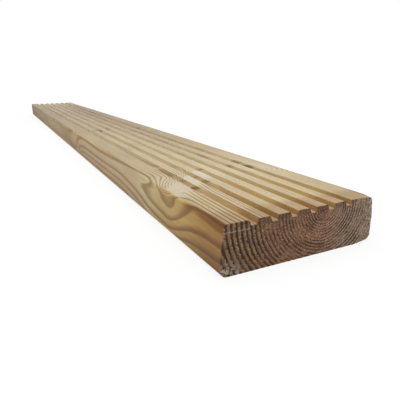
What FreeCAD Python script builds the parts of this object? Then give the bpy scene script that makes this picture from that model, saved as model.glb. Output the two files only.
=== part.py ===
import FreeCAD, Part
import os
import Sketcher

# A grooved softwood decking board: one plank, planed all round and sawn square at both ends.
# X runs along the board, Y across it and Z up. The origin is the middle of the underside.
# The sizes are in millimetres, as the board measures after planing a 38 x 125 mm plank.
SIZES = {
    "board_length": 1200.0,
    "board_width": 120.0,
    "board_thickness": 33.0,
    "top_arris_radius": 2.5,
    "bottom_arris_radius": 4.0,
    "groove_count": 6,
    "groove_pitch": 15.0,
    "groove_depth": 3.6,
    "groove_mouth_width": 6.6,
    "groove_floor_width": 4.3,
    "groove_root_radius": 0.6,
    "rib_crown_radius": 0.8,
}

# How close an edge lies to its expected place, in millimetres, to be the edge that is meant.
EDGE_TOLERANCE = 0.01
# How far the wood taken out may differ from the groove's area times the board's length.
VOLUME_TOLERANCE = 0.001

# A sketch numbers the two ends of a line 1 and 2, and its own two axes -1 and -2.
START, END = range(1, 3)
HORIZONTAL_AXIS, VERTICAL_AXIS = range(-1, -3, -1)


def make_sheet(doc):
    """Put every driving dimension in a cell of its own, under its name as alias."""
    sheet = doc.addObject("Spreadsheet::Sheet", "Sizes")
    for row, (name, value) in enumerate(SIZES.items(), start=1):
        sheet.set(f"A{row}", name)
        sheet.set(f"B{row}", str(value))
        sheet.setAlias(f"B{row}", name)
    doc.recompute()
    return sheet


def section_sketch(body, name):
    """A sketch across the board: its own x is the board's Y and its own y is the board's Z."""
    sketch = body.newObject("Sketcher::SketchObject", name)
    cross_plane = next(plane for plane in body.Origin.OriginFeatures if plane.Role == "YZ_Plane")
    sketch.AttachmentSupport = [(cross_plane, "")]
    sketch.MapMode = "FlatFace"
    return sketch


def add_outline(sketch, corners):
    """Join the corners by straight lines into a closed outline; line 0 starts at corner 0."""
    points = [FreeCAD.Vector(x, y, 0) for x, y in corners]
    for start, end in zip(points, points[1:] + points[:1]):
        sketch.addGeometry(Part.LineSegment(start, end), False)
    for line in range(len(points)):
        following = (line + 1) % len(points)
        sketch.addConstraint(Sketcher.Constraint("Coincident", line, END, following, START))


def bind(sketch, name, constraint, size):
    """Add a named constraint that follows one size of the sheet."""
    sketch.renameConstraint(sketch.addConstraint(constraint), name)
    sketch.setExpression(f"Constraints.{name}", f"Sizes.{size}")


def draw_plank_section(body, sizes):
    """The plank's rectangle, centred across the board, with its underside at height 0."""
    sketch = section_sketch(body, "PlankSection")
    half_width = sizes.board_width / 2
    top = sizes.board_thickness
    add_outline(sketch, [(-half_width, 0), (half_width, 0), (half_width, top), (-half_width, top)])
    underside, right_edge, top_face, left_edge = range(4)
    sketch.addConstraint([
        Sketcher.Constraint("Symmetric", underside, START, underside, END, VERTICAL_AXIS),
        Sketcher.Constraint("PointOnObject", underside, START, HORIZONTAL_AXIS),
        Sketcher.Constraint("Vertical", right_edge),
        Sketcher.Constraint("Horizontal", top_face),
        Sketcher.Constraint("Vertical", left_edge),
    ])
    across = Sketcher.Constraint("DistanceX", underside, START, underside, END, 2 * half_width)
    bind(sketch, "width", across, "board_width")
    upwards = Sketcher.Constraint("DistanceY", right_edge, START, right_edge, END, top)
    bind(sketch, "thickness", upwards, "board_thickness")
    return sketch


def draw_groove_section(body, sizes):
    """The first groove's trapezoid, drawn down from the top face about the groove's own middle."""
    sketch = section_sketch(body, "GrooveSection")
    sketch.setExpression("AttachmentOffset.Base.x", "-(Sizes.groove_count - 1) * Sizes.groove_pitch / 2")
    sketch.setExpression("AttachmentOffset.Base.y", "Sizes.board_thickness")
    half_floor = sizes.groove_floor_width / 2
    half_mouth = sizes.groove_mouth_width / 2
    depth = sizes.groove_depth
    add_outline(sketch, [(-half_floor, -depth), (half_floor, -depth), (half_mouth, 0), (-half_mouth, 0)])
    floor, right_flank, mouth, left_flank = range(4)
    sketch.addConstraint([
        Sketcher.Constraint("Symmetric", floor, START, floor, END, VERTICAL_AXIS),
        Sketcher.Constraint("Symmetric", mouth, START, mouth, END, VERTICAL_AXIS),
        Sketcher.Constraint("PointOnObject", mouth, START, HORIZONTAL_AXIS),
    ])
    floor_span = Sketcher.Constraint("DistanceX", floor, START, floor, END, 2 * half_floor)
    bind(sketch, "floor_width", floor_span, "groove_floor_width")
    mouth_span = Sketcher.Constraint("DistanceX", mouth, END, mouth, START, 2 * half_mouth)
    bind(sketch, "mouth_width", mouth_span, "groove_mouth_width")
    drop = Sketcher.Constraint("DistanceY", right_flank, START, right_flank, END, depth)
    bind(sketch, "depth", drop, "groove_depth")
    return sketch


def long_edges(shape, height, offsets):
    """The names of the edges that run along the board at this height and at these Y offsets."""
    names = []
    for number, edge in enumerate(shape.Edges, start=1):
        start, end = edge.Vertexes[0].Point, edge.Vertexes[-1].Point
        along = abs(start.y - end.y) < EDGE_TOLERANCE and abs(start.z - end.z) < EDGE_TOLERANCE
        at_height = abs(start.z - height) < EDGE_TOLERANCE
        at_offset = any(abs(start.y - offset) < EDGE_TOLERANCE for offset in offsets)
        if along and at_height and at_offset:
            names.append(f"Edge{number}")
    if len(names) != len(offsets):
        raise RuntimeError(f"{len(names)} edges at height {height}, not {len(offsets)}")
    return names


def round_edges(body, name, base, size, height, offsets):
    """Round the edges that run along the board at this height, with a radius from the sheet."""
    fillet = body.newObject("PartDesign::Fillet", name)
    fillet.Base = (base, long_edges(base.Shape, height, offsets))
    fillet.setExpression("Radius", f"Sizes.{size}")
    body.Document.recompute()
    return fillet


def plane_plank(body, sizes):
    """The plank before its grooves, with its four long arrises eased."""
    plank = body.newObject("PartDesign::Pad", "Plank")
    plank.Profile = draw_plank_section(body, sizes)
    plank.SideType = "Symmetric"
    plank.setExpression("Length", "Sizes.board_length")
    body.Document.recompute()
    sides = (-sizes.board_width / 2, sizes.board_width / 2)
    plank = round_edges(body, "BottomArrises", plank, "bottom_arris_radius", 0, sides)
    return round_edges(body, "TopArrises", plank, "top_arris_radius", sizes.board_thickness, sides)


def cut_grooves(body, sizes, plank):
    """Grooves along the whole board, all alike, evenly spaced and centred on its top face."""
    groove = body.newObject("PartDesign::Pocket", "Groove")
    groove.Profile = draw_groove_section(body, sizes)
    groove.SideType = "Symmetric"
    groove.setExpression("Length", "Sizes.board_length")
    body.Document.recompute()

    grooves = body.newObject("PartDesign::LinearPattern", "Grooves")
    grooves.Originals = [groove]
    grooves.Direction = (groove.Profile[0], ["H_Axis"])
    grooves.Mode = "Spacing"
    grooves.setExpression("Offset", "Sizes.groove_pitch")
    grooves.setExpression("Occurrences", "Sizes.groove_count")
    body.Tip = grooves
    body.Document.recompute()

    groove_area = sizes.groove_depth * (sizes.groove_mouth_width + sizes.groove_floor_width) / 2
    expected = sizes.groove_count * groove_area * sizes.board_length
    removed = plank.Shape.Volume - grooves.Shape.Volume
    if abs(removed - expected) > VOLUME_TOLERANCE * expected:
        raise RuntimeError(f"the grooves take out {removed:.0f} cubic mm, not {expected:.0f}")
    return grooves


def round_grooves(body, sizes, grooves):
    """Round the two corners at the bottom of each groove and the two crowns beside it."""
    first = -(sizes.groove_count - 1) * sizes.groove_pitch / 2
    middles = [first + number * sizes.groove_pitch for number in range(sizes.groove_count)]
    roots = [middle + side * sizes.groove_floor_width / 2 for middle in middles for side in (-1, 1)]
    crowns = [middle + side * sizes.groove_mouth_width / 2 for middle in middles for side in (-1, 1)]
    floor_height = sizes.board_thickness - sizes.groove_depth
    rooted = round_edges(body, "GrooveRoots", grooves, "groove_root_radius", floor_height, roots)
    return round_edges(body, "RibCrowns", rooted, "rib_crown_radius", sizes.board_thickness, crowns)


def make_deck_board(doc, sizes):
    """The whole board as one solid."""
    body = doc.addObject("PartDesign::Body", "DeckBoard")
    body.Label = "deck_board"
    body.Placement = FreeCAD.Placement()
    plank = plane_plank(body, sizes)
    grooves = cut_grooves(body, sizes, plank)
    body.Tip = round_grooves(body, sizes, grooves)
    return body


def check(doc, bodies):
    """Stop if any object failed, or if a piece isn't one sound solid."""
    for item in doc.Objects:
        if "Invalid" in item.State or "Error" in item.State:
            raise RuntimeError(f"{item.Label} failed: {item.State}")
    for body in bodies:
        if body.Shape.isNull() or not body.Shape.isValid() or len(body.Shape.Solids) != 1:
            raise RuntimeError(f"{body.Label} is not one sound solid")


doc = FreeCAD.newDocument("DeckingBoard")
sizes = make_sheet(doc)
bodies = [make_deck_board(doc, sizes)]
doc.recompute()
check(doc, bodies)

os.makedirs("parts", exist_ok=True)
for body in bodies:
    body.Shape.exportStep(f"parts/{body.Label}.step")
    box = body.Shape.BoundBox
    print(f"{body.Label}: {box.XLength:.1f} x {box.YLength:.1f} x {box.ZLength:.1f} mm, "
          f"{body.Shape.Volume / 1e6:.3f} litres")
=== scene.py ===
import bpy
import bmesh
import math
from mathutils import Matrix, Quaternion, Vector, noise


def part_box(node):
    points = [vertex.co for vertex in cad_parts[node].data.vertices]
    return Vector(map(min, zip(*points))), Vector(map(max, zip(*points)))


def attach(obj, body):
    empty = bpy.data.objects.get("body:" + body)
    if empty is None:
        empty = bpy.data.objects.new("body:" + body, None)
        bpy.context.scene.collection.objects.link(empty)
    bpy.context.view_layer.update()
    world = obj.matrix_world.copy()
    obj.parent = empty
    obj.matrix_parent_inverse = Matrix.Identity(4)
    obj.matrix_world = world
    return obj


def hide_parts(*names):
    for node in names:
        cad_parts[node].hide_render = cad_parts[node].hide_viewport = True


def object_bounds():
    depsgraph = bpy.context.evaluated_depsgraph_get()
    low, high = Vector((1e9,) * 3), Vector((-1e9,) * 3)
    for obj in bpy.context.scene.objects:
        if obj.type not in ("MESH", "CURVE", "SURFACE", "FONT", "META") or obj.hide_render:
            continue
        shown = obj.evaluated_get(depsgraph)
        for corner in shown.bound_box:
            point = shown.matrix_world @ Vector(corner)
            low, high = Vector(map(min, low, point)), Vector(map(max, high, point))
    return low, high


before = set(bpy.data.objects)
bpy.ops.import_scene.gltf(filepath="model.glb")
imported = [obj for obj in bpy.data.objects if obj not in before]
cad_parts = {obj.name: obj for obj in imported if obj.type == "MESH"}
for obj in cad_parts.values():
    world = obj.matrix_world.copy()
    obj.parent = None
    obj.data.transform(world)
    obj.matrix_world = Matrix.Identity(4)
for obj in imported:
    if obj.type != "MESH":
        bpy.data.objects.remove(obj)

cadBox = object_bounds()
mm = 0.001
mergeDistance = 1e-7     # m, points closer than this are one point
nearby = 1e-6            # m, how close a point lies to a place to be at it
boardWidth = round((cadBox[1].y - cadBox[0].y) / mm, 3)      # in mm, as the wood's pattern is
boardHeight = round(cadBox[1].z / mm, 3)
print("frame loaded")


# the board's mesh, planed section first, wear last
board = dict(
    node="deck_board",
    slot="treated_softwood",
    topArris=2.5 * mm,
    bottomArris=4.0 * mm,
    grooves=6,
    groovePitch=15.0 * mm,
    grooveDepth=3.6 * mm,
    mouthWidth=6.6 * mm,
    floorWidth=4.3 * mm,
    rootRadius=0.6 * mm,
    crownRadius=0.8 * mm,
    station=6.0 * mm,        # spacing of the cross cuts along the board
    sideLine=4.0 * mm,       # spacing of the lines along the sides
    landLines=(5, 8, 12, 16),    # mm from the side, lines along the lands and the underside
    endSkin=1.6 * mm,        # thickness of the slice that carries the sawn relief
    endCell=0.8 * mm,        # mesh size on the sawn ends
    planedDip=0.18 * mm,     # deepest unevenness of the planed faces
    sawnDip=0.45 * mm,       # deepest tear on the sawn ends
    fray=0.9 * mm,           # how far the tops of the ribs are frayed back at the ends
    leftWear=2.4 * mm,       # how far the near left corner is worn back
    wearReach=(70, 13),      # mm, along the board and across it
    rightKnock=1.7 * mm,     # how far the near right corner is knocked off
    knockReach=(9, 5.5),
    rightLift=1.6 * mm,      # how far the underside lifts below that corner
    liftReach=(90, 16, 9),   # mm, along the board, across it and up
    sharpAngle=math.radians(32),
)


def cutAcross(bm, geometry, place, normal):
    # gives back what it was given with the new cut in it
    cut = bmesh.ops.bisect_plane(bm, geom=geometry, dist=mergeDistance, plane_co=place, plane_no=normal)
    return cut["geom"]


def everything(bm):
    return bm.verts[:] + bm.edges[:] + bm.faces[:]


def steps(first, last, spacing):
    count = max(1, round((last - first) / spacing))
    return [first + (last - first) * i / count for i in range(1, count)]


def roundEdges(bm, edges, radius, turn, segments):
    # the cut starts this far from the corner for a round of that radius
    offset = radius * math.tan(turn / 2)
    bmesh.ops.bevel(bm, geom=edges, offset=offset, segments=segments, profile=0.5,
                    affect="EDGES", material=-1, clamp_overlap=False)


def runsAlong(edge):
    a, b = edge.verts[0].co, edge.verts[1].co
    return abs(a.y - b.y) < nearby and abs(a.z - b.z) < nearby


def edgesAt(bm, places):
    def matches(edge):
        p = edge.verts[0].co
        return any(abs(p.y - y) < nearby and abs(p.z - z) < nearby for y, z in places)
    return [edge for edge in bm.edges if runsAlong(edge) and matches(edge)]


def shapeSection(bm, low, high):
    # grooves: cut lines along the top, then push each floor strip down
    halfMouth, halfFloor = board["mouthWidth"] / 2, board["floorWidth"] / 2
    middle, count = (low.y + high.y) / 2, board["grooves"]
    middles = [middle + board["groovePitch"] * (i - (count - 1) / 2) for i in range(count)]
    mouths = [m + side * halfMouth for m in middles for side in (-1, 1)]
    floors = [m + side * halfFloor for m in middles for side in (-1, 1)]
    for y in mouths + floors:
        cutAcross(bm, everything(bm), (0, y, 0), (0, 1, 0))
    onTop = [v for v in bm.verts if v.co.z > high.z - nearby]
    sunk = [v for v in onTop if any(abs(v.co.y - y) < nearby for y in floors)]
    bmesh.ops.translate(bm, vec=(0, 0, -board["grooveDepth"]), verts=sunk)

    # eased edges
    square = math.pi / 2
    slope = square - math.atan((halfMouth - halfFloor) / board["grooveDepth"])
    floorHeight = high.z - board["grooveDepth"]
    sides = (low.y, high.y)
    roundEdges(bm, edgesAt(bm, [(y, low.z) for y in sides]), board["bottomArris"], square, 5)
    roundEdges(bm, edgesAt(bm, [(y, high.z) for y in sides]), board["topArris"], square, 4)
    roundEdges(bm, edgesAt(bm, [(y, high.z) for y in mouths]), board["crownRadius"], slope, 3)
    roundEdges(bm, edgesAt(bm, [(y, floorHeight) for y in floors]), board["rootRadius"], slope, 2)

    # more lines along the sides, the lands and the underside, for their unevenness
    for z in steps(low.z + board["sideLine"], high.z - 2 * mm, board["sideLine"]):
        cutAcross(bm, everything(bm), (0, 0, z), (0, 0, 1))
    for side in (-1, 1):
        for inset in board["landLines"]:
            cutAcross(bm, everything(bm), (0, side * (high.y - inset * mm), 0), (0, 1, 0))


def makeBoard():
    low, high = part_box(board["node"])
    bm = bmesh.new()
    bmesh.ops.create_cube(bm, size=1)
    bmesh.ops.scale(bm, vec=high - low, verts=bm.verts)
    bmesh.ops.translate(bm, vec=(low + high) / 2, verts=bm.verts)
    shapeSection(bm, low, high)
    print("section shaped")

    # a thin slice at each end carries the sawn relief, the length between gets even stations
    skin = board["endSkin"]
    for x in (low.x + skin, high.x - skin):
        cutAcross(bm, everything(bm), (x, 0, 0), (1, 0, 0))
    between = [e for e in bm.edges
               if runsAlong(e) and abs(e.verts[0].co.x + e.verts[1].co.x) < skin]
    cuts = round((high.x - low.x) / board["station"]) - 1
    bmesh.ops.subdivide_edges(bm, edges=between, cuts=cuts, use_grid_fill=True)
    for side in (-1, 1):
        def inSlice(v):
            return side * v.co.x > high.x - skin - nearby
        geometry = [v for v in bm.verts if inSlice(v)]
        geometry += [item for item in bm.edges[:] + bm.faces[:]
                     if all(inSlice(v) for v in item.verts)]
        for y in steps(low.y, high.y, board["endCell"]):
            geometry = cutAcross(bm, geometry, (0, y, 0), (0, 1, 0))
        for z in steps(low.z, high.z, board["endCell"]):
            geometry = cutAcross(bm, geometry, (0, 0, z), (0, 0, 1))
    print("board cut:", len(bm.verts), "vertices")

    roughen(bm, low, high)
    mesh = bpy.data.meshes.new(board["node"] + "_wood")
    bmesh.ops.remove_doubles(bm, verts=bm.verts, dist=mergeDistance)
    bmesh.ops.recalc_face_normals(bm, faces=bm.faces)
    bm.to_mesh(mesh)
    bm.free()
    mesh.shade_smooth()
    mesh.set_sharp_from_angle(angle=board["sharpAngle"])
    piece = bpy.data.objects.new("planedBoard", mesh)
    bpy.context.scene.collection.objects.link(piece)
    evenFlats = piece.modifiers.new("evenFlats", "WEIGHTED_NORMAL")
    evenFlats.keep_sharp = True
    return piece


def clamp(value):
    return min(1.0, max(0.0, value))


def ease(value):
    value = clamp(value)
    return value * value * (3 - 2 * value)


def ripple(x, y, z):
    return 0.5 + 0.5 * noise.noise(Vector((x, y, z)))


def roughen(bm, low, high):
    # every move goes into the wood, so the board stays inside its planed size
    sawn = bm.verts.layers.float.new("sawnEnd")
    bm.normal_update()
    moves = []
    wearAlong, wearAcross = board["wearReach"]
    knockAlong, knockAcross = board["knockReach"]
    liftAlong, liftAcross, liftUp = board["liftReach"]
    for v in bm.verts:
        x, y, z = v.co / mm
        fromNear, fromLeft = (high.x - v.co.x) / mm, (v.co.y - low.y) / mm
        fromRight = (high.y - v.co.y) / mm
        onEnd = min(v.co.x - low.x, high.x - v.co.x) < nearby
        v[sawn] = 1.0 if onEnd else 0.0
        dip = 0.7 * ripple(x / 90, y / 14, z / 14) + 0.3 * ripple(x / 17, y / 5, z / 5)
        move = Vector((0, -v.normal.y, -v.normal.z)) * board["planedDip"] * dip

        # the near left corner is worn back under its top edge
        wear = board["leftWear"] * ease(1 - fromNear / wearAlong) * ease((z - 12) / 21)
        move.y += wear * clamp(1 - fromLeft / wearAcross)
        # the near right corner is knocked off, and its lower corner is lifted
        knock = ease(1 - fromNear / knockAlong) * (0.6 + 0.4 * ripple(x / 3, y / 3, z / 3))
        corner = clamp(1 - (fromRight + (high.z - v.co.z) / mm * 0.45) / knockAcross)
        move.y -= board["rightKnock"] * knock * corner
        move.z -= 0.6 * board["rightKnock"] * knock * corner
        lift = ease(1 - fromNear / liftAlong) * ease(1 - fromRight / liftAcross) * ease(1 - z / liftUp)
        move.z += board["rightLift"] * lift
        if onEnd:
            tear = ripple(y / 1.3, z / 1.3, x)
            depth = 0.45 * tear * tear + 0.3 * ripple(y / 6, z / 6, x) + 0.25 * softWood(y, z)
            frayed = ease((z - 28.5) / 4) * ripple(y / 0.9, z / 2.2, x + 5) ** 3
            move.x = -math.copysign(board["sawnDip"] * depth + board["fray"] * frayed, v.co.x)
        moves.append(move)
    for v, move in zip(bm.verts, moves):
        v.co += move


def softWood(y, z):
    # 1 in the soft part of a ring on the sawn end, 0 in its hard part
    dy, dz = y - wood["pithY"][0][1], z - wood["pithZ"][0][1]
    low, high = wood["squash"]
    squash = low + (high - low) * clamp(-dy / wood["squashReach"])
    radius = math.sqrt(dy * dy + squash * dz * dz)
    growth = wood["ringGrowth"]
    rings = math.log(1 + radius * growth / wood["ringStart"]) / growth + wood["ringOffset"]
    part = rings - math.floor(rings)
    hardMiddle = 0.82
    return clamp(abs(part - hardMiddle) * 6 - 0.6)


# one solid pattern of rings, so every face and both ends show the same tree
wood = dict(
    # where the pith runs: mm from the near end, then mm to the right of the middle line.
    # all points but the last came out of a least-squares fit to ring lines read off the photo's
    # end, left side and left land, and so did the squash, the ring values and the first branch
    pithY=[(0, 15.7), (60, 15.45), (100, 17.7), (140, 17.0), (180, 14.2), (230, 12.45), (300, 11.5),
           (390, 12.25), (430, 12.6), (460, 10.85), (520, 11.6), (700, 11.0), (830, 8.9), (950, 7.2),
           (1100, 5.3), (1200, 4.5)],
    # and mm above the underside
    pithZ=[(0, 30.65), (60, 29.1), (100, 26.4), (140, 29.4), (180, 35.5), (230, 39.05), (300, 40.2),
           (390, 38.3), (430, 29.4), (460, 20.15), (520, 18.5), (1200, 18.5)],
    pithStray=(0.4, 0.8),        # mm, how far it strays from that, sideways and upwards
    squash=(1.146, 1.642),       # rings are flatter to the left: at the pith, and 76 mm left of it
    squashReach=76,
    ringStart=1.617,             # mm, width of the ring beside the pith
    ringGrowth=0.0279,           # how much wider each further mm makes a ring
    ringOffset=0.728,            # where in its ring the pith's own wood starts
    broadWave=0.8,               # mm, how far the rings wave, broadly and finely
    fineWave=0.35,
    bumpDepth=0.5,               # mm
    bumpStrength=0.6,
    specular=0.3,
    gloss=dict(soft=0.68, hard=0.56, sawn=0.92),     # roughness
)

# the soft wood's colour along the board, with painted shade and light on the groove walls: mm from
# the near end, then red, green and blue, corrected until the render's mean colours came close to those
# measured on the photo
tones = dict(
    top=[(0, (176, 150, 115)), (16, (176, 149, 112)), (24, (197, 175, 139)),
         (110, (203, 186, 155)), (210, (193, 174, 143)), (720, (173, 155, 130)),
         (1200, (183, 166, 147))],
    side=[(0, (165, 124, 72)), (25, (173, 135, 76)), (55, (198, 164, 103)), (95, (204, 178, 122)),
          (122, (213, 194, 148)), (160, (201, 179, 141)), (280, (203, 178, 141)),
          (500, (190, 165, 128)), (800, (178, 153, 115)), (1200, (151, 127, 95))],
    # painted light and shade on the groove walls: near the end they are dark partly from the wood's brown
    # and partly from painted shade, and further along they are paler than the tops, painted light that
    # lifts the grooves' shade
    wall=[(0, (155, 119, 67)), (16, (160, 125, 72)), (30, (189, 160, 104)), (160, (206, 189, 150)),
          (420, (208, 192, 160)), (720, (197, 181, 153)), (1200, (206, 191, 168))],
)

# what a colour is multiplied by in each place
tints = dict(
    olive=(0.90, 0.95, 0.78),
    # painted shade low on the sides, and more of it low down near the end
    lowSideShade=(0.78, 0.73, 0.68),
    nearLowSideShade=(0.80, 0.74, 0.62),
    halfWay=(0.84, 0.81, 0.80),
    rightLand=(0.93, 0.91, 0.86),
    sideLines=(0.51, 0.37, 0.20),
    topLines=(0.50, 0.43, 0.36),
    landSoft=(1.06, 1.08, 1.05),
    landLines=(0.62, 0.52, 0.38),
    bentLines=(0.80, 0.74, 0.60),
    arrisLine=(0.62, 0.50, 0.32),
    # a darker brown band under the left arris near the end
    nearArrisBrown=(0.60, 0.43, 0.22),
    leftLand=(0.88, 0.85, 0.80),
)

# heights in mm between which one face's colour goes over to the next one's
levels = dict(land=(32.3, 32.75), wallFoot=(29.5, 29.9), floorFoot=(28.0, 28.6))

# branches that grew from the pith: place on the pith in mm from the near end, direction seen
# along the board in degrees from +Y, and how far they lean to the near end.
# pull, far, near and high say how strongly and how widely the rings swing out round them, and
# tip how strongly they do close to the branch. deepFar is how much further the swing reaches low
# down, and inward what is left of its width 16 mm further in.
# thick is the half width of the branch's own wood for each mm of its length.
# the first one's values come from the same fit as the pith, as tipFar, tipNear and deep below do.
branches = [
    dict(at=153.7, toward=174.05, lean=0.912, pull=0.110, far=37.2, near=35.0, high=45.8,
         tip=0.138, deepFar=2.22, inward=0.216),
    dict(at=148, toward=10, lean=1.20, pull=0.11, far=30, near=20, high=20, tip=0.08),
    dict(at=150, toward=262, lean=0.60, thick=0.10, pull=0.15, far=40, near=28, high=14),
    dict(at=473, toward=164, lean=0.60, thick=0.05, pull=0.08, far=30, near=18, high=12),
    dict(at=470, toward=24, lean=0.60, thick=0.06, pull=0.08, far=30, near=18, high=12),
    dict(at=486, toward=285, lean=0.60, thick=0.08, pull=0.12, far=34, near=20, high=14),
    dict(at=806, toward=157, lean=0.60, thick=0.05, pull=0.08, far=30, near=18, high=12),
    dict(at=810, toward=352, lean=0.60, thick=0.10, pull=0.13, far=36, near=22, high=16),
    dict(at=800, toward=236, lean=0.60, thick=0.09, pull=0.12, far=36, near=22, high=14),
    dict(at=1064, toward=318, lean=0.60, thick=0.09, pull=0.12, far=36, near=22, high=14),
]
branchShape = dict(
    tipFar=14.8,             # mm, half sizes of the swing close to the branch
    tipNear=10.2,
    tipHigh=3.5,
    deep=(-22, 0.9),         # mm beside the branch between which deepFar comes in
    inward=(60, 76),         # mm out from the pith between which inward goes
)

# small dark knots and stains in the grooves: mm from the near end and from the left side,
# half length and half width, strength
spots = [
    dict(near=149, left=100.3, long=11, wide=2.4, strength=0.6),
    dict(near=126, left=100.3, long=7.5, wide=2.4, strength=0.8),
    dict(near=228, left=100.2, long=18, wide=2.6, strength=0.3),
    dict(near=191, left=85.4, long=18, wide=2.6, strength=0.35),
    dict(near=135, left=85.4, long=7, wide=2.4, strength=0.5),
    dict(near=137, left=55.4, long=5, wide=2.4, strength=0.5),
    dict(near=96, left=40.5, long=5, wide=2.4, strength=0.5),
    dict(near=114, left=40.5, long=5, wide=2.4, strength=0.25),
    dict(near=107, left=25.5, long=4, wide=2.4, strength=0.3),
    dict(near=82.5, left=25.5, long=5, wide=2.4, strength=0.7),
    dict(near=140, left=25.2, long=18, wide=1.3, strength=0.4),
    dict(near=457, left=40.5, long=16, wide=2.6, strength=0.5),
    dict(near=470, left=55.5, long=14, wide=2.6, strength=0.4),
    dict(near=792, left=100.4, long=18, wide=3.0, strength=0.4),
]


class Nodes:
    # short words for the shader nodes
    def __init__(self, owner):
        owner.use_nodes = True
        self.tree = owner.node_tree
        self.tree.nodes.clear()

    def add(self, kind, **settings):
        node = self.tree.nodes.new(kind)
        for name, value in settings.items():
            setattr(node, name, value)
        return node

    def feed(self, socket, value):
        if isinstance(value, bpy.types.NodeSocket):
            self.tree.links.new(value, socket)
        elif value is not None:
            socket.default_value = value

    def calc(self, operation, *values):
        node = self.add("ShaderNodeMath", operation=operation)
        for socket, value in zip(node.inputs, values):
            self.feed(socket, value)
        return node.outputs[0]

    def total(self, *values):
        result = values[0]
        for value in values[1:]:
            result = self.calc("ADD", result, value)
        return result

    def times(self, *values):
        result = values[0]
        for value in values[1:]:
            result = self.calc("MULTIPLY", result, value)
        return result

    def less(self, a, b):
        return self.calc("SUBTRACT", a, b)

    def slide(self, value, low, high, toLow=0.0, toHigh=1.0, smooth=True):
        kind = "SMOOTHSTEP" if smooth else "LINEAR"
        node = self.add("ShaderNodeMapRange", interpolation_type=kind)
        names = ("Value", "From Min", "From Max", "To Min", "To Max")
        for name, v in zip(names, (value, low, high, toLow, toHigh)):
            self.feed(node.inputs[name], v)
        return node.outputs["Result"]

    def curve(self, value, points):
        # a smooth line through the points; the node itself works from 0 to 1
        length, height = points[-1][0], 50.0
        node = self.add("ShaderNodeFloatCurve")
        line = node.mapping.curves[0].points
        while len(line) < len(points):
            line.new(0.5, 0.5)
        for point, (place, size) in zip(line, points):
            point.location = (place / length, size / height)
            point.handle_type = "AUTO_CLAMPED"
        node.mapping.update()
        self.feed(node.inputs["Value"], self.times(value, 1 / length))
        return self.times(node.outputs[0], height)

    def vector(self, x, y, z):
        node = self.add("ShaderNodeCombineXYZ")
        for socket, value in zip(node.inputs, (x, y, z)):
            self.feed(socket, value)
        return node.outputs[0]

    def cloud(self, vector, detail=2.0, roughness=0.5):
        node = self.add("ShaderNodeTexNoise", noise_dimensions="3D")
        self.feed(node.inputs["Vector"], vector)
        node.inputs["Scale"].default_value = 1.0
        node.inputs["Detail"].default_value = detail
        node.inputs["Roughness"].default_value = roughness
        return node.outputs[0]

    def scatter(self, value):
        node = self.add("ShaderNodeTexWhiteNoise", noise_dimensions="1D")
        self.feed(node.inputs["W"], value)
        return node.outputs["Value"]

    def ramp(self, value, *stops):
        node = self.add("ShaderNodeValToRGB")
        elements = node.color_ramp.elements
        while len(elements) < len(stops):
            elements.new(0.5)
        for element, (place, colour) in zip(elements, stops):
            element.position = place
            element.color = colour if isinstance(colour, tuple) else (colour, colour, colour, 1)
        self.feed(node.inputs[0], value)
        return node.outputs[0]

    def mix(self, factor, a, b, blend="MIX"):
        node = self.add("ShaderNodeMix", data_type="RGBA", blend_type=blend)
        for socket, value in zip((node.inputs[0], node.inputs[6], node.inputs[7]), (factor, a, b)):
            self.feed(socket, value)
        return node.outputs[2]

    def shade(self, colour, value):
        return self.mix(1.0, colour, self.vector(value, value, value), "MULTIPLY")


def srgb(r, g, b):
    def linear(c):
        c /= 255
        return c / 12.92 if c <= 0.04045 else ((c + 0.055) / 1.055) ** 2.4
    return (linear(r), linear(g), linear(b), 1)


def stretched(n, place, along, across, detail=2.0, roughness=0.5, shift=0.0):
    # noise drawn out along the board, sizes in mm
    x, y, z = place
    sideways = n.total(n.times(y, 1 / across), shift)
    vector = n.vector(n.times(x, 1 / along), sideways, n.times(z, 1 / across))
    return n.cloud(vector, detail, roughness)


def pithDistance(n, place, fromNear):
    x, y, z = place
    strayY, strayZ = wood["pithStray"]
    wanderY = n.less(n.cloud(n.vector(n.times(x, 1 / 260), 3.0, 7.0), 1.0), 0.5)
    wanderZ = n.less(n.cloud(n.vector(n.times(x, 1 / 310), 11.0, 5.0), 1.0), 0.5)
    pithY = n.total(n.curve(fromNear, wood["pithY"]), n.times(wanderY, strayY))
    pithZ = n.total(n.curve(fromNear, wood["pithZ"]), n.times(wanderZ, strayZ))
    dy, dz = n.less(y, pithY), n.less(z, pithZ)
    squash = n.slide(n.times(dy, -1.0), 0, wood["squashReach"], *wood["squash"], smooth=False)
    radius = n.calc("SQRT", n.total(n.times(dy, dy), n.times(squash, dz, dz), 0.01))
    return dy, dz, radius


def bell(n, along, aside):
    # 1 at the middle, falling to 0 all round
    return n.calc("EXPONENT", n.times(n.total(n.times(along, along), n.times(aside, aside)), -1.0))


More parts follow.
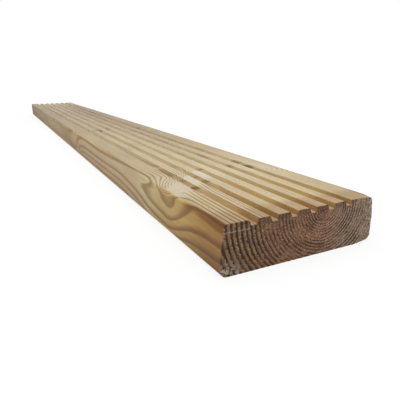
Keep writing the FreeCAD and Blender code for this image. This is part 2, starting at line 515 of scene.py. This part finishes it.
def growBranches(n, dy, dz, fromNear, rough):
    # gives how far the rings swing out, the branches' own wood, its rim, and its small rings
    swing, core, rim, coreRings = 0.0, 0.0, 0.0, 0.0
    for b in branches:
        angle = math.radians(b["toward"])
        byY, byZ = math.cos(angle), math.sin(angle)
        out = n.calc("MAXIMUM", n.total(n.times(dy, byY), n.times(dz, byZ)), 0.0)
        beside = n.less(n.times(dy, byZ), n.times(dz, byY))
        ahead = n.less(n.less(b["at"], fromNear), n.times(out, b["lean"]))   # + on the near side
        far = n.slide(beside, *branchShape["deep"], b["far"] * b.get("deepFar", 1.0), b["far"])
        along = n.calc("DIVIDE", ahead, n.slide(ahead, -4, 4, far, b["near"]))
        along = n.calc("DIVIDE", along, n.slide(out, *branchShape["inward"], b.get("inward", 1.0), 1.0))
        aside = n.times(beside, 1 / b["high"])
        swing = n.total(swing, n.times(out, b["pull"], bell(n, along, aside)))
        if "tip" in b:
            tipReach = n.slide(ahead, -4, 4, branchShape["tipFar"], branchShape["tipNear"])
            along = n.calc("DIVIDE", ahead, tipReach)
            aside = n.times(beside, 1 / branchShape["tipHigh"])
            swing = n.total(swing, n.times(out, b["tip"], bell(n, along, aside)))
        if "thick" in b:
            half = n.total(n.times(out, b["thick"]), 1.0)
            across = n.calc("DIVIDE", ahead, n.times(half, 1.4))
            upward = n.calc("DIVIDE", beside, half)
            fromCore = n.calc("SQRT", n.total(n.times(across, across), n.times(upward, upward)))
            fromCore = n.total(fromCore, n.times(rough, 0.5))
            born = n.slide(out, 0.5, 3.0)
            inside = n.times(n.slide(fromCore, 0.85, 1.05, 1.0, 0.0), born)
            edge = n.times(n.slide(fromCore, 0.7, 1.0), n.slide(fromCore, 1.0, 1.5, 1.0, 0.0), born)
            core = n.calc("MAXIMUM", core, inside)
            rim = n.calc("MAXIMUM", rim, edge)
            coreRings = n.calc("MAXIMUM", coreRings, n.times(fromCore, half, inside))
    return swing, core, rim, coreRings


def ringPhase(n, radius, swing, wobble):
    # place within the ring, 0 to 1 outwards, and the ring's number
    grown = n.calc("MAXIMUM", n.less(n.total(radius, wobble), swing), 0.0)
    growth = wood["ringGrowth"]
    grown = n.total(1.0, n.times(grown, growth / wood["ringStart"]))
    phase = n.times(n.calc("LOGARITHM", grown, math.e), 1 / growth)
    phase = n.total(phase, wood["ringOffset"])
    return n.calc("FRACT", phase), n.calc("FLOOR", phase)


def tone(n, fromNear, name):
    length = tones[name][-1][0]
    stops = [(near / length, srgb(*colour)) for near, colour in tones[name]]
    return n.ramp(n.times(fromNear, 1 / length), *stops)


def tinted(n, amount, colour, tint):
    return n.mix(amount, colour, n.mix(1.0, colour, (*tints[tint], 1), "MULTIPLY"))


def findFaces(n, y, z, fromNear, fromLeft):
    # how much a point belongs to each face, 0 to 1
    land, wallFoot, floorFoot = levels["land"], levels["wallFoot"], levels["floorFoot"]
    between = n.slide(n.calc("ABSOLUTE", y), 46.5, 45.0)     # from the first groove to the last
    top = n.slide(z, *land)
    wall = n.times(n.slide(z, *reversed(land)), n.slide(z, *wallFoot), between)
    floor = n.times(n.slide(z, *reversed(wallFoot)), n.slide(z, *floorFoot), between)
    # past the branch the left arris shows its lines as the side does
    arris = n.times(n.slide(fromLeft, 4.4, 2.4), n.slide(fromNear, 112, 130))
    flatTop = n.times(top, n.less(1.0, arris))
    return dict(top=top, wall=wall, flatTop=flatTop, upper=n.calc("MAXIMUM", top, floor))


def softColour(n, place, fromNear, faces):
    y, z = place[1], place[2]
    mottle = stretched(n, place, 70, 9, 3.0)
    olive = n.slide(stretched(n, place, 160, 7, 2.0, 0.5, 40.0), 0.45, 0.65)
    soft = n.mix(faces["upper"], tone(n, fromNear, "side"), tone(n, fromNear, "top"))
    # the groove walls take their tone here: painted shade near the end, painted light further along
    soft = n.mix(faces["wall"], soft, tone(n, fromNear, "wall"))
    soft = n.shade(soft, n.slide(mottle, 0.3, 0.7, 0.92, 1.08, smooth=False))
    soft = tinted(n, n.times(olive, 0.35), soft, "olive")
    # painted shade: the sides are darker low down, where less light reaches, and darker and browner still
    # low down near the end
    below = n.slide(faces["upper"], 0, 1, 1.0, 0.0)
    soft = tinted(n, n.times(below, n.slide(z, 24, 2)), soft, "lowSideShade")
    nearLowShade = n.times(below, n.slide(z, 14, 2), n.slide(fromNear, 34, 12))
    soft = tinted(n, nearLowShade, soft, "nearLowSideShade")
    # the right part of the top is darker half way along
    halfWay = n.times(n.slide(fromNear, 130, 400), n.slide(fromNear, 1200, 960))
    soft = tinted(n, n.times(halfWay, n.slide(y, -20, 34)), soft, "halfWay")
    rightLand = n.times(n.slide(y, 36, 46), n.slide(fromNear, 105, 165))
    return tinted(n, n.times(rightLand, n.slide(fromNear, 420, 250)), soft, "rightLand")


def ringLines(n, y, fromNear, faces, part, ring, radius, soft):
    # soft wood first, then a rise to the hard dark wood, which ends sharply
    wide = n.ramp(part, (0.0, 0.45), (0.04, 0.0), (0.45, 0.05), (0.64, 0.55), (0.8, 1.0),
                  (0.95, 1.0), (1.0, 0.45))
    thin = n.ramp(part, (0.0, 0.3), (0.08, 0.0), (0.58, 0.0), (0.76, 1.0), (0.94, 1.0), (1.0, 0.3))
    hard = n.mix(faces["flatTop"], wide, thin)

    # lines are clear on the outer rings and faint near the pith, and fade along the board
    luck = n.slide(n.scatter(ring), 0, 1, 0.75, 1.0, smooth=False)
    clear = n.times(n.slide(radius, 20, 52, 0.14, 0.95), luck)
    beforeBranch, atBranch = n.slide(fromNear, 60, 100, 0.24, 0.0), n.slide(fromNear, 128, 178, 0.76, 0.0)
    fading = n.total(beforeBranch, atBranch, 0.24)
    onSide = n.slide(fromNear, 460, 560, 1.0, 0.65)
    clear = n.times(clear, n.slide(faces["flatTop"], 0, 1, onSide, fading))
    clear = n.times(clear, n.slide(faces["wall"], 0, 1, 1.0, 0.6))

    lines = n.mix(faces["upper"], (*tints["sideLines"], 1), (*tints["topLines"], 1))
    dark = n.mix(1.0, soft, lines, "MULTIPLY")
    # the lines stand out most on the left land and beside the branch
    land = n.times(faces["top"], n.slide(y, -25, -33), n.slide(fromNear, 80, 10))
    soft = tinted(n, land, soft, "landSoft")
    dark = tinted(n, land, dark, "landLines")
    bent = n.times(n.slide(y, -24, -38), n.slide(fromNear, 175, 130))
    bent = n.times(bent, n.slide(faces["top"], 0, 1, 1.0, n.slide(fromNear, 60, 90)))
    dark = tinted(n, bent, dark, "bentLines")
    return n.mix(n.times(hard, clear), soft, dark), hard


def leftMarks(n, z, fromNear, fromLeft, top, colour):
    # a warm line follows the left arris past the branch
    fromLine = n.less(fromLeft, n.slide(fromNear, 128, 158, 3.0, 1.1))
    warm = n.times(bell(n, n.times(fromLine, 1 / 1.1), 0.0), n.slide(z, 31.2, 32.4))
    warm = n.times(warm, n.slide(fromNear, 116, 128), n.slide(fromNear, 330, 200))
    colour = tinted(n, n.times(warm, 0.85), colour, "arrisLine")
    # the near end is darker brown under the left arris
    depth = n.less(boardHeight, z)
    reach = n.slide(fromNear, 62, 8, 1.2, 6.5, smooth=False)
    brownBand = n.times(n.slide(n.less(depth, reach), 1.2, -1.2), n.slide(fromLeft, 5.2, 3.6))
    brownBand = n.times(brownBand, n.slide(fromNear, 58, 24))
    colour = tinted(n, n.times(brownBand, 0.9), colour, "nearArrisBrown")
    # and the left land is darker but for the stretch with the pale patch
    awayFromPatch = n.slide(n.calc("ABSOLUTE", n.less(fromNear, 88)), 10, 40)
    leftLand = n.times(top, n.slide(fromLeft, 24, 18), awayFromPatch)
    return tinted(n, leftLand, colour, "leftLand")


# smooth pale wood where the grain climbs over the branch to the left: its line passes this place,
# in mm from the near end and from the left side, and lean says how far it runs on per mm
patchLook = dict(near=146.0, left=76.0, lean=0.933, edge=(199, 187, 162), middle=(209, 199, 180))


def palePatch(n, place, fromNear, fromLeft, top, colour):
    line = n.less(patchLook["near"], n.times(n.less(patchLook["left"], fromLeft), patchLook["lean"]))
    beside = n.less(fromNear, line)
    patch = n.times(n.slide(beside, -24, -8), n.slide(beside, 14, 6), top, n.slide(fromLeft, 56, 50))
    cover = stretched(n, place, 14, 2.2, 2.0, 0.5, 20.0)
    patch = n.times(patch, n.slide(cover, 0.3, 0.55, 0.5, 0.9))
    edge, middle = srgb(*patchLook["edge"]), srgb(*patchLook["middle"])
    return n.mix(patch, colour, n.mix(n.slide(fromLeft, 18, 26), edge, middle))


def spotMask(n, fromNear, fromLeft, rough):
    result = 0.0
    for spot in spots:
        along = n.times(n.less(fromNear, spot["near"]), 1 / spot["long"])
        aside = n.times(n.less(fromLeft, spot["left"]), 1 / spot["wide"])
        away = n.calc("SQRT", n.total(n.times(along, along), n.times(aside, aside)))
        away = n.total(away, n.times(rough, 0.8))
        result = n.calc("MAXIMUM", result, n.slide(away, 0.5, 1.1, spot["strength"], 0.0))
    return result


# level is the height in mm that a spot's place is given at, and lean how far it moves per mm below it
knotLook = dict(
    rings=[(0.0, (176, 138, 96)), (0.7, (146, 104, 64)), (1.0, (118, 80, 48))],
    rim=(96, 74, 42),
    spotNear=(112, 93, 52),
    spotFar=(134, 100, 60),
    level=31.3,
    lean=3.0,
)


def knotsAndSpots(n, z, fromNear, fromLeft, top, rough, core, rim, coreRings, colour):
    small = n.calc("FRACT", n.times(coreRings, 0.8))
    knotWood = n.ramp(small, *[(place, srgb(*tint)) for place, tint in knotLook["rings"]])
    colour = n.mix(n.times(core, 0.75), colour, knotWood)
    colour = n.mix(n.times(rim, 0.6), colour, srgb(*knotLook["rim"]))
    # the dark spots lean back down the walls of the grooves
    onWall = n.times(n.slide(z, 28.0, 29.5), n.slide(top, 0, 1, 1.0, 0.35))
    leaning = n.less(fromNear, n.times(n.less(knotLook["level"], z), knotLook["lean"]))
    nearColour, farColour = srgb(*knotLook["spotNear"]), srgb(*knotLook["spotFar"])
    spotColour = n.mix(n.slide(fromNear, 132, 142), nearColour, farColour)
    return n.mix(n.times(spotMask(n, leaning, fromLeft, rough), onWall), colour, spotColour)


def woodMaterial():
    material = bpy.data.materials.new("treatedSoftwood")
    n = Nodes(material)
    coordinates = n.add("ShaderNodeTexCoord")
    scaled = n.add("ShaderNodeMapping")
    n.feed(scaled.inputs["Vector"], coordinates.outputs["Object"])
    scaled.inputs["Scale"].default_value = (1 / mm, 1 / mm, 1 / mm)
    split = n.add("ShaderNodeSeparateXYZ")
    n.feed(split.inputs[0], scaled.outputs[0])
    place = x, y, z = split.outputs
    fromNear = n.less(cadBox[1].x / mm, x)
    fromLeft = n.less(y, cadBox[0].y / mm)

    # the rings
    dy, dz, radius = pithDistance(n, place, fromNear)
    broad = n.less(stretched(n, place, 150, 18, 1.0), 0.5)
    rough = n.less(stretched(n, place, 45, 3.0, 2.0), 0.5)
    swing, core, rim, coreRings = growBranches(n, dy, dz, fromNear, rough)
    wobble = n.total(n.times(broad, wood["broadWave"]), n.times(rough, wood["fineWave"]))
    part, ring = ringPhase(n, radius, swing, wobble)

    # the planed faces
    faces = findFaces(n, y, z, fromNear, fromLeft)
    top = faces["top"]
    soft = softColour(n, place, fromNear, faces)
    colour, hard = ringLines(n, y, fromNear, faces, part, ring, radius, soft)
    colour = leftMarks(n, z, fromNear, fromLeft, top, colour)
    fibre = stretched(n, place, 26, 0.9, 3.0, 0.6)
    fine = stretched(n, place, 9, 0.28, 2.0, 0.6)
    colour = n.shade(colour, n.times(n.slide(fibre, 0.3, 0.7, 0.90, 1.10, smooth=False),
                                     n.slide(fine, 0.3, 0.7, 0.95, 1.05, smooth=False)))
    colour = palePatch(n, place, fromNear, fromLeft, top, colour)
    colour = knotsAndSpots(n, z, fromNear, fromLeft, top, rough, core, rim, coreRings, colour)

    # the sawn ends
    ends, grit, flecks = sawnColour(n, place, fromLeft, dy, dz, radius, swing, wobble)
    sawn = n.add("ShaderNodeAttribute", attribute_name="sawnEnd").outputs["Fac"]
    colour = n.mix(sawn, colour, ends)

    gloss = wood["gloss"]
    planedGloss = n.slide(hard, 0, 1, gloss["soft"], gloss["hard"])
    shader = n.add("ShaderNodeBsdfPrincipled")
    n.feed(shader.inputs["Base Color"], colour)
    n.feed(shader.inputs["Roughness"], n.slide(sawn, 0, 1, planedGloss, gloss["sawn"], smooth=False))
    shader.inputs["Specular IOR Level"].default_value = wood["specular"]

    planedHeight = n.total(n.times(hard, 0.10), n.times(fibre, 0.25), n.times(fine, 0.10))
    sawnHeight = n.total(n.times(grit, 0.8), n.times(flecks, 0.4))
    bump = n.add("ShaderNodeBump")
    bump.inputs["Strength"].default_value = wood["bumpStrength"]
    bump.inputs["Distance"].default_value = wood["bumpDepth"] * mm
    n.feed(bump.inputs["Height"], n.slide(sawn, 0, 1, planedHeight, sawnHeight, smooth=False))
    n.feed(shader.inputs["Normal"], bump.outputs[0])
    output = n.add("ShaderNodeOutputMaterial")
    n.feed(output.inputs["Surface"], shader.outputs[0])
    return material


# the sawn end's colours, from the left side to the right side as a share of the width
endTones = dict(
    soft=[(0.0, (140, 110, 82)), (0.19, (138, 108, 80)), (0.27, (139, 106, 80)),
          (0.5, (149, 112, 87)), (0.66, (156, 120, 98)), (0.78, (160, 133, 111)),
          (1.0, (155, 133, 115))],
    hard=[(0.0, (54, 36, 30)), (0.2, (54, 34, 26)), (0.3, (60, 36, 25)), (0.7, (62, 40, 32)),
          (0.8, (58, 42, 34)), (1.0, (84, 66, 58))],
    ribs=(92, 64, 48),
    crushed=(196, 184, 172),
)


def endTone(n, across, name):
    return n.ramp(across, *[(place, srgb(*colour)) for place, colour in endTones[name]])


def sawnColour(n, place, fromLeft, dy, dz, radius, swing, wobble):
    x, y, z = place
    across = n.times(fromLeft, 1 / boardWidth)
    flat = n.times(x, 0.01)          # the two ends differ, but nothing changes through a tear

    def grain(size, shift=0.0, detail=2.0, roughness=0.5):
        along, up = size
        depth = n.total(flat, shift) if shift else flat
        return n.cloud(n.vector(n.times(y, 1 / along), n.times(z, 1 / up), depth), detail, roughness)

    blotch = grain((9, 7))
    grit = grain((1.1, 1.1), detail=3.0, roughness=0.7)
    coarse = grain((2.6, 2.6), 9.0, roughness=0.6)
    patchy = grain((11, 11), 21.0, detail=1.0)
    bearing = n.times(n.calc("ARCTAN2", dz, dy), radius)
    flecks = n.cloud(n.vector(bearing, n.times(radius, 0.22), flat), 2.0, 0.6)

    # the rings again, with ragged edges
    ragged = n.total(n.times(n.less(grit, 0.5), 1.6), n.times(n.less(coarse, 0.5), 1.2))
    part = ringPhase(n, radius, swing, n.total(wobble, ragged))[0]
    hard = n.ramp(part, (0.0, 0.35), (0.05, 0.0), (0.42, 0.08), (0.56, 0.8), (0.66, 1.0),
                  (0.94, 1.0), (1.0, 0.35))
    hard = n.times(hard, n.slide(patchy, 0.36, 0.56, n.slide(across, 0.18, 0.26, 0.85, 0.4), 1.0))
    clear = n.ramp(across, (0.0, 0.95), (0.19, 0.95), (0.28, 0.8), (0.6, 0.9), (0.72, 0.8),
                   (0.8, 0.95), (0.9, 0.9), (0.94, 0.4), (1.0, 0.35))
    colour = n.mix(n.times(hard, clear), endTone(n, across, "soft"), endTone(n, across, "hard"))
    for pattern, low, high, darkest, palest in ((blotch, 0.35, 0.65, 0.84, 1.16),
                                                (grit, 0.38, 0.62, 0.50, 1.55),
                                                (flecks, 0.3, 0.7, 0.84, 1.16),
                                                (coarse, 0.35, 0.65, 0.80, 1.22)):
        colour = n.shade(colour, n.slide(pattern, low, high, darkest, palest, smooth=False))

    # darker on the ends of the ribs
    ribs = n.times(n.slide(z, 27.5, 30.5), n.slide(fromLeft, 18, 22))
    ribs = n.times(ribs, n.slide(fromLeft, 98, 104, 1.0, 0.0))
    colour = n.mix(n.times(ribs, 0.45), colour, srgb(*endTones["ribs"]))
    # pale crushed fibres: low on the left, at the knocked corner, and a saw line under the left land
    nearEnd = n.slide(x, 0.0, 1.0)
    low = n.times(n.slide(fromLeft, 4, 20, 1.0, 0.0), n.slide(z, 2, 11, 1.0, 0.0))
    corner = n.total(n.less(boardWidth, fromLeft), n.times(n.less(boardHeight, z), 0.35))
    corner = n.times(n.slide(corner, 8, 2), n.slide(z, 18, 26))
    crushed = n.times(n.slide(coarse, 0.44, 0.58), n.calc("MAXIMUM", low, corner), nearEnd)
    line = n.calc("ABSOLUTE", n.less(n.less(z, 27.8), n.times(n.less(coarse, 0.5), 1.4)))
    line = n.times(n.slide(line, 0.1, 0.5, 0.6, 0.0), n.slide(fromLeft, 18, 22, 1.0, 0.0))
    line = n.times(line, n.slide(grit, 0.35, 0.55), nearEnd)
    pale = n.calc("MAXIMUM", n.times(crushed, 0.8), line)
    colour = n.mix(pale, colour, srgb(*endTones["crushed"]))
    return colour, grit, flecks


# floor, light and camera, in metres, watts, degrees and mm of lens
stage = dict(floorSize=40.0, floorColour=(0.62, 0.62, 0.62, 1), whiteShare=0.86, shadowReach=0.5)
lamps = dict(sky=0.60, topPower=34.0, topSize=2.6, topPlace=(0.5, -0.3, 2.2), topAim=(0.3, 0.0, 0.0))
camera = dict(place=(0.7810, -0.1625, 0.1132), lookAt=(0.5511, -0.0485, 0.0330), roll=-0.72,
              lens=36.0, sensor=36.0)


def whiteToCamera(n):
    # the camera, and what mirrors the stage, see plain white
    path = n.add("ShaderNodeLightPath")
    seen = n.calc("MAXIMUM", path.outputs["Is Camera Ray"], path.outputs["Is Glossy Ray"])
    return n.calc("MAXIMUM", seen, path.outputs["Is Transmission Ray"])


def makeFloor():
    bm = bmesh.new()
    bmesh.ops.create_grid(bm, x_segments=2, y_segments=2, size=stage["floorSize"] / 2)
    mesh = bpy.data.meshes.new("floor")
    bm.to_mesh(mesh)
    bm.free()
    floor = bpy.data.objects.new("floor", mesh)
    bpy.context.scene.collection.objects.link(floor)
    material = bpy.data.materials.new("paleFloor")
    n = Nodes(material)
    seen = whiteToCamera(n)
    matt = n.add("ShaderNodeBsdfDiffuse")
    n.feed(matt.inputs["Color"], n.mix(seen, stage["floorColour"], (1, 1, 1, 1)))
    white = n.add("ShaderNodeEmission")
    # the shadow shows close to the board, and further off the floor is plain white
    coordinates = n.add("ShaderNodeTexCoord")
    split = n.add("ShaderNodeSeparateXYZ")
    n.feed(split.inputs[0], coordinates.outputs["Object"])
    overEnd = n.calc("MAXIMUM", n.less(n.calc("ABSOLUTE", split.outputs["X"]), cadBox[1].x), 0.0)
    overSide = n.calc("MAXIMUM", n.less(n.calc("ABSOLUTE", split.outputs["Y"]), cadBox[1].y), 0.0)
    away = n.calc("SQRT", n.total(n.times(overEnd, overEnd), n.times(overSide, overSide)))
    share = n.slide(away, 0.0, stage["shadowReach"], stage["whiteShare"], 1.0)
    blend = n.add("ShaderNodeMixShader")
    n.feed(blend.inputs[0], n.times(seen, share))
    n.feed(blend.inputs[1], matt.outputs[0])
    n.feed(blend.inputs[2], white.outputs[0])
    output = n.add("ShaderNodeOutputMaterial")
    n.feed(output.inputs["Surface"], blend.outputs[0])
    mesh.materials.append(material)


def makeLights():
    world = bpy.data.worlds.new("softSky")
    bpy.context.scene.world = world
    n = Nodes(world)
    sky = n.add("ShaderNodeBackground")
    sky.inputs["Strength"].default_value = lamps["sky"]
    sky.inputs["Color"].default_value = (1, 1, 1, 1)
    white = n.add("ShaderNodeBackground")
    white.inputs["Color"].default_value = (1, 1, 1, 1)
    blend = n.add("ShaderNodeMixShader")
    n.feed(blend.inputs[0], whiteToCamera(n))
    n.feed(blend.inputs[1], sky.outputs[0])
    n.feed(blend.inputs[2], white.outputs[0])
    output = n.add("ShaderNodeOutputWorld")
    n.feed(output.inputs["Surface"], blend.outputs[0])

    lamp = bpy.data.lights.new("softTop", "AREA")
    lamp.energy = lamps["topPower"]
    lamp.size = lamps["topSize"]
    top = bpy.data.objects.new("softTop", lamp)
    top.location = lamps["topPlace"]
    aim = Vector(lamps["topAim"]) - Vector(lamps["topPlace"])
    top.rotation_euler = aim.to_track_quat("-Z", "Y").to_euler()
    bpy.context.scene.collection.objects.link(top)


def makeCamera():
    data = bpy.data.cameras.new("photoCamera")
    data.lens = camera["lens"]
    data.sensor_width = camera["sensor"]
    data.clip_start = 0.01
    view = bpy.data.objects.new("photoCamera", data)
    view.location = camera["place"]
    aim = (Vector(camera["lookAt"]) - view.location).to_track_quat("-Z", "Y")
    turn = Quaternion((0, 0, 1), math.radians(camera["roll"]))
    view.rotation_mode = "QUATERNION"
    view.rotation_quaternion = aim @ turn
    bpy.context.scene.collection.objects.link(view)
    bpy.context.scene.camera = view


piece = makeBoard()
piece.data.materials.append(woodMaterial())
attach(piece, "root")
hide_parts(board["node"])
print("board done:", len(piece.data.polygons), "faces")

makeFloor()
makeLights()
makeCamera()
bpy.context.scene.view_settings.view_transform = "Standard"
print("stage done")
